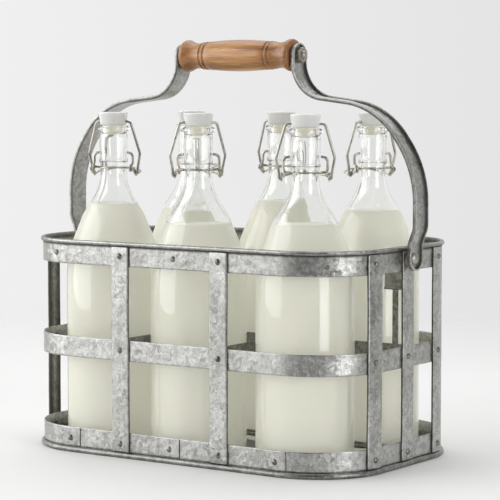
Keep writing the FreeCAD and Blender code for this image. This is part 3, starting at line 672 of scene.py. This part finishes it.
ripple = glass.noise(glass.stretched(glass.place(), (1, 1, 0.5)), 40.0, 2.0)
glass.feed("Base Color", glass.mixed(ripple, (0.975, 0.985, 0.975), (0.99, 0.99, 0.985)))
glass.feed("Roughness", 0.01 + 0.02 * ripple)
glass.bump(ripple, 0.0016, 0.04)


def bottle_place(number):
    x, y, turn, _ = BOTTLES[number]
    return Matrix.Translation((x * MM, y * MM, FOOT_Z * MM)) @ Matrix.Rotation(math.radians(turn), 4, "Z")


for number in BOTTLES:
    piece(f"glass_bottle_{number}", [glass_shape], glass, f"filled_bottle_{number}",
          [f"bottle_{number}"], 60, bottle_place(number))


# ---- Milk ----
# Whole milk fills each bottle to the shoulder, wetting the glass, so its edge
# climbs a little round the wall; cream gives it a warm cast.
WETTING = 0.18
# The milk glows faintly (emission): painted light that brightens it behind the glass.
milk_finish = Finish("whole_milk", IOR=1.35, Subsurface_Weight=0.25, Subsurface_Scale=0.004, Roughness=0.3,
                     Emission_Strength=0.21)
milk_finish.shader.inputs["Emission Color"].default_value = (1.0, 0.985, 0.85, 1)
milk_finish.shader.inputs["Subsurface Radius"].default_value = (1.0, 0.9, 0.7)
swirl = milk_finish.noise(milk_finish.place(), 18.0, 2.0)
milk_finish.feed("Base Color", milk_finish.mixed(swirl, (0.87, 0.865, 0.76), (0.92, 0.915, 0.83)))
wetted = set_in(side_line, GLASS_T - WETTING)
for number, (_, _, _, level) in BOTTLES.items():
    top = level - FOOT_Z
    sides = [p for p in wetted if 16 < p.y < top + 1.2]
    edge = sides[-1].x - 1.2
    meniscus = [(edge + 0.5, sides[-1].y + 0.25), (edge - 0.2, top + 0.7), (edge - 1.0, top + 0.25),
                (edge - 2.4, top + 0.05), (edge - 5, top), (0, top)]
    bottom = [(0, 9.2), (15, 8.5), (30, 7.6), (35.6, 7.8), (39.2, 9.0), (41.2, 11.3), (41.78, 14)]
    piece(f"milk_fill_{number}", [lathed(bottom + list(sides) + meniscus, 96)], milk_finish,
          f"filled_bottle_{number}", [f"milk_{number}"], 60, bottle_place(number))


# ---- Wire closures ----
# Hard-drawn spring wire: a collar round the neck groove, a thumb lever hung on
# its eyes, and a bail from the lever over the cap. Bright where it is handled.
WIRE_R = 1.25
PIVOT = Vector((0, -4.0, 262.2))
LINK = 9.0
DROP = math.radians(30)
LINK_LINE = Vector((0, math.cos(DROP), -math.sin(DROP)))
PIN = PIVOT + LINK_LINE * LINK
CAP_Z = 306.8


def bent(points, radii):
    """A polyline in mm whose corners are rounded like bent wire."""
    line = [points[0]]
    for before, corner, after, radius in zip(points, points[1:], points[2:], radii):
        back, ahead = (before - corner).normalized(), (after - corner).normalized()
        half = back.angle(ahead) / 2
        reach = min(radius / math.tan(half), 0.49 * (before - corner).length, 0.49 * (after - corner).length)
        start, end = corner + back * reach, corner + ahead * reach
        for k in range(9):
            t = k / 8
            line.append(start.lerp(corner, t).lerp(corner.lerp(end, t), t))
    return line + [points[-1]]


def wired(line, radius, closed=False, sides=14):
    """Sweeps a round wire along a line of points in mm."""
    count = len(line)
    frames = []
    lean = None
    for k in range(count):
        before = line[k - 1] if closed or k else line[0]
        after = line[(k + 1) % count] if closed or k < count - 1 else line[-1]
        along = (after - before).normalized()
        if lean is None:
            lean = along.orthogonal().normalized()
        lean = (lean - along * lean.dot(along)).normalized()
        frames.append((line[k], lean.copy(), along.cross(lean), along))
    verts, rings = [], []
    ends = [] if closed else [(0, -1), (-1, 1)]
    for centre, out, up, along in frames:
        rings.append(range(len(verts), len(verts) + sides))
        verts += [(centre + radius * (math.cos(a) * out + math.sin(a) * up)) * MM
                  for a in (2 * math.pi * i / sides for i in range(sides))]
    pairs = list(zip(rings, rings[1:])) + ([(rings[-1], rings[0])] if closed else [])
    faces = [[low[i - 1], low[i], high[i], high[i - 1]] for low, high in pairs for i in range(sides)]
    for k, sign in ends:
        centre, out, up, along = frames[k]
        rim = rings[k]
        inner_ring = range(len(verts), len(verts) + sides)
        verts += [(centre + sign * 0.35 * radius * along
                   + 0.7 * radius * (math.cos(a) * out + math.sin(a) * up)) * MM
                  for a in (2 * math.pi * i / sides for i in range(sides))]
        band = [[rim[i - 1], rim[i], inner_ring[i], inner_ring[i - 1]] for i in range(sides)]
        cap = [list(inner_ring)]
        if sign < 0:
            band = [face[::-1] for face in band]
            cap = [cap[0][::-1]]
        faces += band + cap
    return verts, faces


def ringed(centre, radius, axis_x=False, turns=40):
    """Points of a ring in mm, about the vertical or about local X."""
    line = []
    for k in range(turns):
        a = 2 * math.pi * k / turns
        if axis_x:
            line.append(centre + radius * Vector((0, math.cos(a), math.sin(a))))
        else:
            line.append(centre + radius * Vector((math.cos(a), math.sin(a), 0)))
    return line


bright_wire = Finish("spring_wire", Metallic=1.0)
dull = bright_wire.noise(bright_wire.place(), 240.0, 3.0, 0.6)
bright_wire.feed("Base Color", bright_wire.mixed(dull, (0.34, 0.32, 0.27), (0.66, 0.64, 0.58)))
bright_wire.feed("Roughness", 0.2 + 0.2 * dull)
bright_wire.bump(dull, 0.0002, 0.4)

collar_parts = [wired(ringed(Vector((0, 0, 263.2)), 13.1), 0.65, True)]
for side in (-1, 1):
    arm = [Vector((side * 14.2, 0, 277.6)), Vector((side * 18.0, 0, 276.9)),
           Vector((side * 19.7, -0.1, 274.0)), Vector((side * 19.8, -0.4, 267.5)),
           Vector((side * 19.1, PIVOT.y, PIVOT.z + 2.3))]
    collar_parts.append(wired(bent(arm, (2.5, 2.5, 3)), WIRE_R))
    collar_parts.append(wired([Vector((side * 13.6, 0, 263.2)), Vector((side * 19.2, -1.6, 264.0))], WIRE_R))
    collar_parts.append(wired(ringed(Vector((side * 19.1, PIVOT.y, PIVOT.z)), 2.1, True, 20), 0.88, True))


def link_plate(x, thickness=0.9, half=2.2, sides=14):
    """A flattened wire end: a rounded bar between two points of the lever."""
    start, end = PIVOT, PIVOT + LINK_LINE * (LINK + 0.6)
    across = Vector((0, math.sin(DROP), math.cos(DROP)))
    edge = [start + half * (math.cos(a) * across - math.sin(a) * LINK_LINE)
            for a in (math.pi * k / sides for k in range(sides + 1))]
    edge += [end + half * (-math.cos(a) * across + math.sin(a) * LINK_LINE)
             for a in (math.pi * k / sides for k in range(sides + 1))]
    count = len(edge)
    middle = (start + end) / 2
    verts = []
    for offset, share in ((0, 0.88), (0.2, 1.0), (thickness - 0.2, 1.0), (thickness, 0.88)):
        verts += [(Vector((x + offset, 0, 0)) + middle + (p - middle) * (1 - (1 - share) * 0.6)) * MM
                  for p in edge]
    faces = [[low + i, low + (i + 1) % count, low + count + (i + 1) % count, low + count + i]
             for low in range(0, 3 * count, count) for i in range(count)]
    faces += [list(range(count))[::-1], list(range(3 * count, 4 * count))]
    return verts, faces


nose = PIVOT + LINK_LINE * (LINK + 1.5)
loop = [Vector((-21.4, nose.y, nose.z)), Vector((-21.4, 16.0, 259.6)), Vector((-9.0, 26.0, 262.1)),
        Vector((9.0, 26.0, 262.1)), Vector((21.4, 16.0, 259.6)), Vector((21.4, nose.y, nose.z))]
lever_parts = [wired(bent(loop, (5, 6, 6, 5)), 0.95), link_plate(21.0), link_plate(-21.9)]
for side in (-1, 1):
    lever_parts.append(wired([PIVOT + Vector((side * 17.8, 0, 0)), PIVOT + Vector((side * 21.8, 0, 0))], 1.0))

lean_back = PIN.y / (CAP_Z - PIN.z)


def bail_point(x, z):
    return Vector((x, (CAP_Z - z) * lean_back, z))


half_bail = [Vector((17.4, 0, CAP_Z)), bail_point(26.1, 276.6), bail_point(23.7, 264.0),
             bail_point(23.3, PIN.z), Vector((20.6, PIN.y, PIN.z))]
bail_line = [Vector((-p.x, p.y, p.z)) for p in reversed(half_bail)] + half_bail
bail_parts = [wired(bent(bail_line, (2.4, 6, 6, 4, 4, 6, 6, 2.4)), WIRE_R)]
for number in BOTTLES:
    here = bottle_place(number)
    piece(f"neck_collar_{number}", collar_parts, bright_wire, f"filled_bottle_{number}",
          [f"collar_{number}"], 50, here)
    piece(f"thumb_lever_{number}", lever_parts, bright_wire, f"lever_body_{number}",
          [f"lever_{number}"], 50, here)
    piece(f"bail_wire_{number}", bail_parts, bright_wire, f"stopper_body_{number}",
          [f"bail_{number}"], 50, here)


# ---- Caps and seals ----
# A glazed white porcelain cap, bored across for the bail, over a cream rubber
# plug that seals the mouth.
cap_line = eased([(11.7, LIP + 0.9), (12.3, LIP + 1.5), (12.6, LIP + 3.0), (13.2, LIP + 8.0),
                  (13.6, LIP + 10.6), (13.75, LIP + 11.6), (13.3, LIP + 12.5), (12.0, LIP + 12.9)], 3)
cap_shape = lathed([(0, LIP + 0.9)] + cap_line + [(6, LIP + 13.0), (0, LIP + 13.0)], 72)
porcelain = Finish("glazed_porcelain", Roughness=0.16, Coat_Weight=0.3, Coat_Roughness=0.06)
glaze = porcelain.noise(porcelain.place(), 90.0, 3.0)
porcelain.feed("Base Color", porcelain.mixed(glaze, (0.80, 0.80, 0.77), (0.87, 0.87, 0.85)))
porcelain.bump(glaze, 0.0005, 0.3)
# The plug glows faintly (emission): painted light that brightens it inside the neck.
rubber = Finish("cream_rubber", Roughness=0.55, Specular_IOR_Level=0.35, Emission_Strength=0.22)
rubber.shader.inputs["Emission Color"].default_value = (0.95, 0.93, 0.78, 1)
chalk = rubber.noise(rubber.place(), 300.0, 3.0)
rubber.feed("Base Color", rubber.mixed(chalk, (0.80, 0.78, 0.64), (0.88, 0.86, 0.74)))
rubber.bump(chalk, 0.0003, 0.5)
plug_line = [(0, LIP - 7.0), (5.0, LIP - 7.0), (5.7, LIP - 6.8), (6.7, LIP - 5.2), (7.0, LIP - 3.6),
             (7.0, LIP + 0.05), (10.1, LIP + 0.05), (10.4, LIP + 0.3), (10.3, LIP + 0.95), (0, LIP + 0.95)]
plug_shape = lathed(plug_line, 64)
for number in BOTTLES:
    here = bottle_place(number)
    body = f"stopper_body_{number}"
    piece(f"porcelain_cap_{number}", [cap_shape], porcelain, body,
          [f"stopper_{number}"], 50, here)
    piece(f"rubber_plug_{number}", [plug_shape], rubber, body,
          [f"gasket_{number}"], 50, here)
